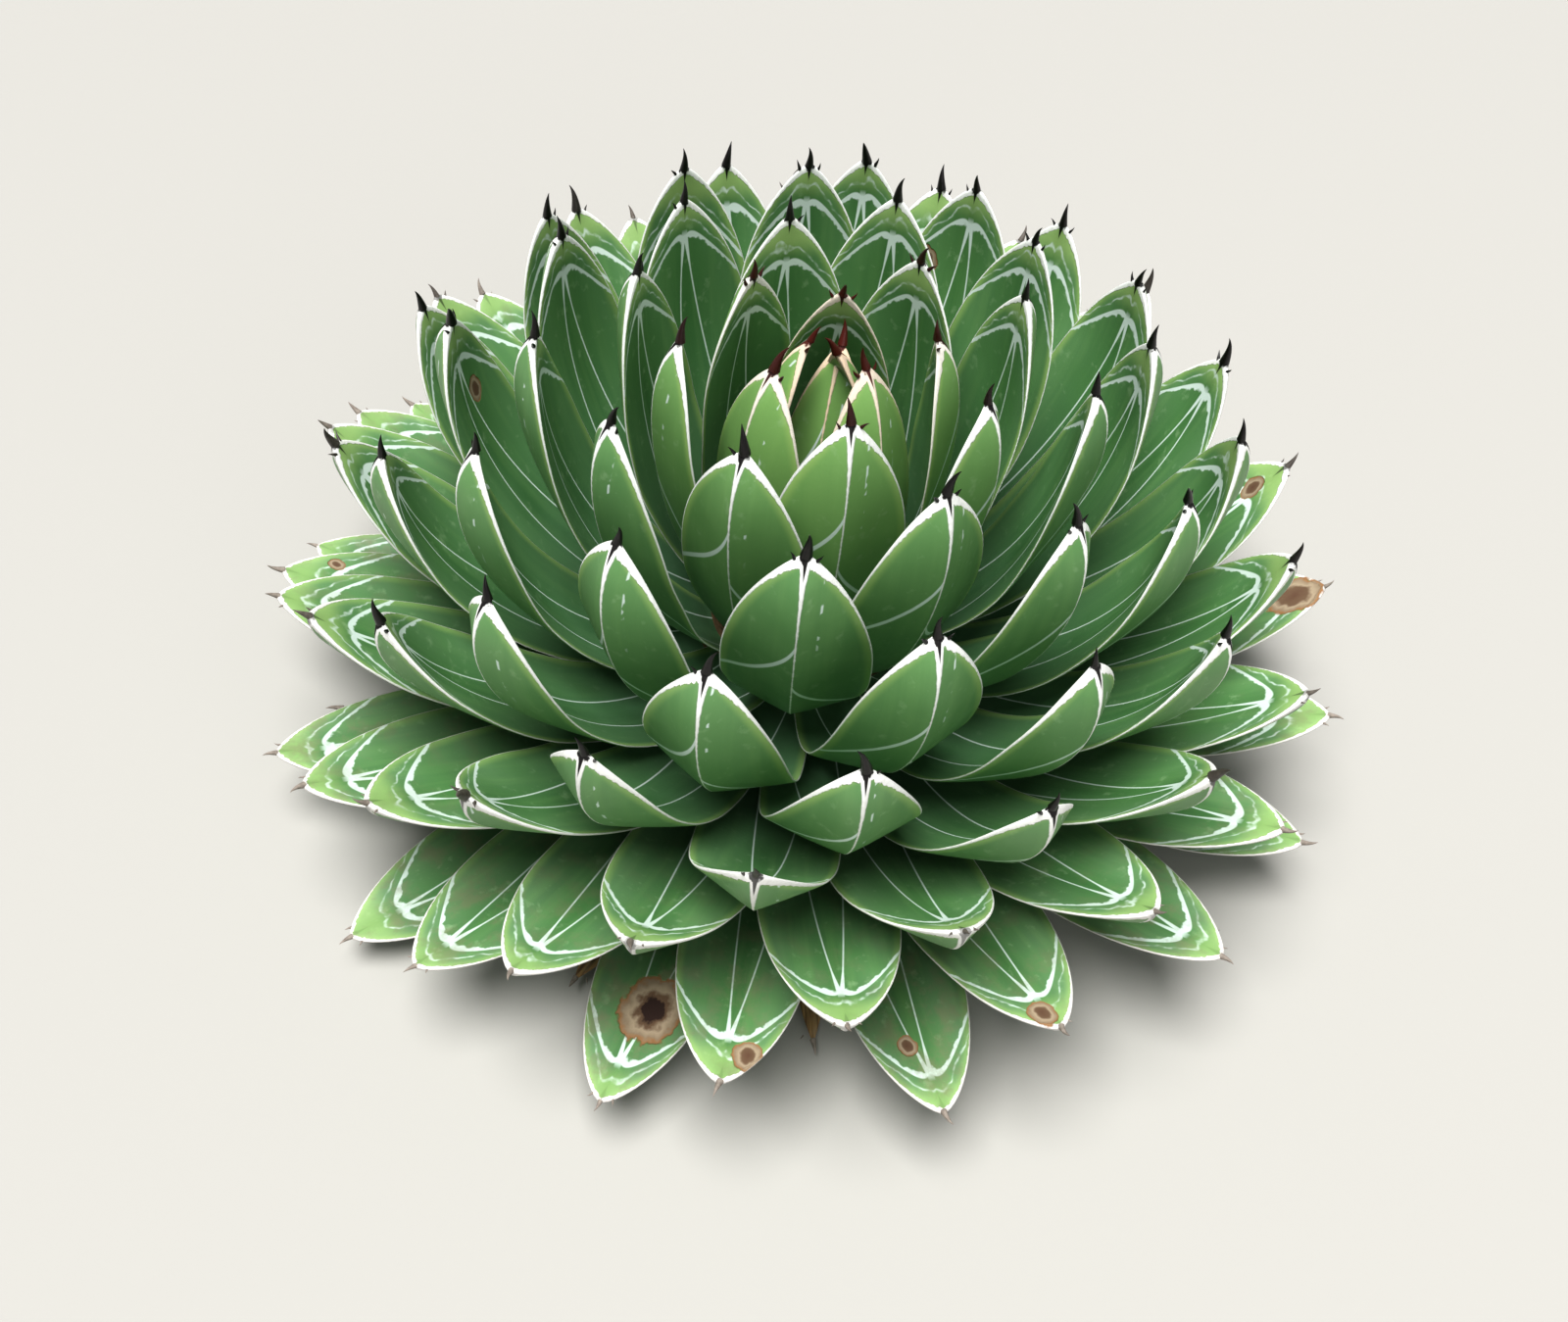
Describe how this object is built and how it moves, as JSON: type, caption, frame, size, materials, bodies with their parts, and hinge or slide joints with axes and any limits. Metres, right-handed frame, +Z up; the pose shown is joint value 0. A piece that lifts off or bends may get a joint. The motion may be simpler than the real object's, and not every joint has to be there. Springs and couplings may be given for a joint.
{
  "type": "queen victoria agave plant",
  "caption": "Dense dome-shaped agave rosette: thick keeled strap leaves with blunt spine-tipped ends, spiralling round a short stem cut flat to rest on a surface.",
  "frame": {"origin": "middle of the stem's flat foot, on the surface that the plant rests on", "axes": "+Z up along the stem; -Y is the side that the picture was taken from"},
  "size_m": [0.4117, 0.4127, 0.1994],
  "materials": {
    "inner_leaf_green": "waxy, satin",
    "leaf_green": "waxy, satin",
    "dry_leaf_tan": "dry, fibrous, matte"
  },
  "bodies": {
    "root": {"stem_with_inner_leaves": "inner_leaf_green", "leaf_057": "leaf_green", "leaf_058": "leaf_green", "leaf_059": "leaf_green", "leaf_060": "leaf_green", "leaf_061": "leaf_green", "leaf_062": "leaf_green", "leaf_063": "leaf_green", "leaf_064": "leaf_green", "leaf_065": "leaf_green", "leaf_066": "leaf_green", "leaf_067": "leaf_green", "leaf_068": "leaf_green", "leaf_069": "leaf_green", "leaf_070": "leaf_green", "leaf_071": "leaf_green", "leaf_072": "leaf_green", "leaf_073": "leaf_green", "leaf_074": "leaf_green", "leaf_075": "leaf_green", "leaf_076": "leaf_green", "leaf_077": "leaf_green", "leaf_078": "leaf_green", "leaf_079": "leaf_green", "leaf_080": "leaf_green", "leaf_081": "leaf_green", "leaf_082": "leaf_green", "leaf_083": "leaf_green", "leaf_084": "leaf_green", "leaf_085": "leaf_green", "leaf_086": "leaf_green", "leaf_087": "leaf_green", "leaf_088": "leaf_green", "leaf_089": "leaf_green", "leaf_090": "leaf_green", "leaf_091": "leaf_green", "leaf_092": "leaf_green", "leaf_093": "leaf_green", "leaf_094": "leaf_green", "leaf_095": "leaf_green", "leaf_096": "leaf_green", "leaf_097": "leaf_green", "leaf_098": "leaf_green", "leaf_099": "leaf_green", "leaf_100": "leaf_green", "leaf_101": "leaf_green", "leaf_102": "leaf_green", "leaf_103": "leaf_green", "leaf_104": "leaf_green", "leaf_107": "leaf_green", "dry_leaf_105": "dry_leaf_tan", "dry_leaf_106": "dry_leaf_tan", "dry_leaf_108": "dry_leaf_tan", "dry_leaf_109": "dry_leaf_tan", "dry_leaf_110": "dry_leaf_tan", "dry_leaf_111": "dry_leaf_tan", "dry_leaf_112": "dry_leaf_tan", "dry_leaf_113": "dry_leaf_tan", "dry_leaf_114": "dry_leaf_tan", "dry_leaf_115": "dry_leaf_tan"}
  },
  "joints": []
}
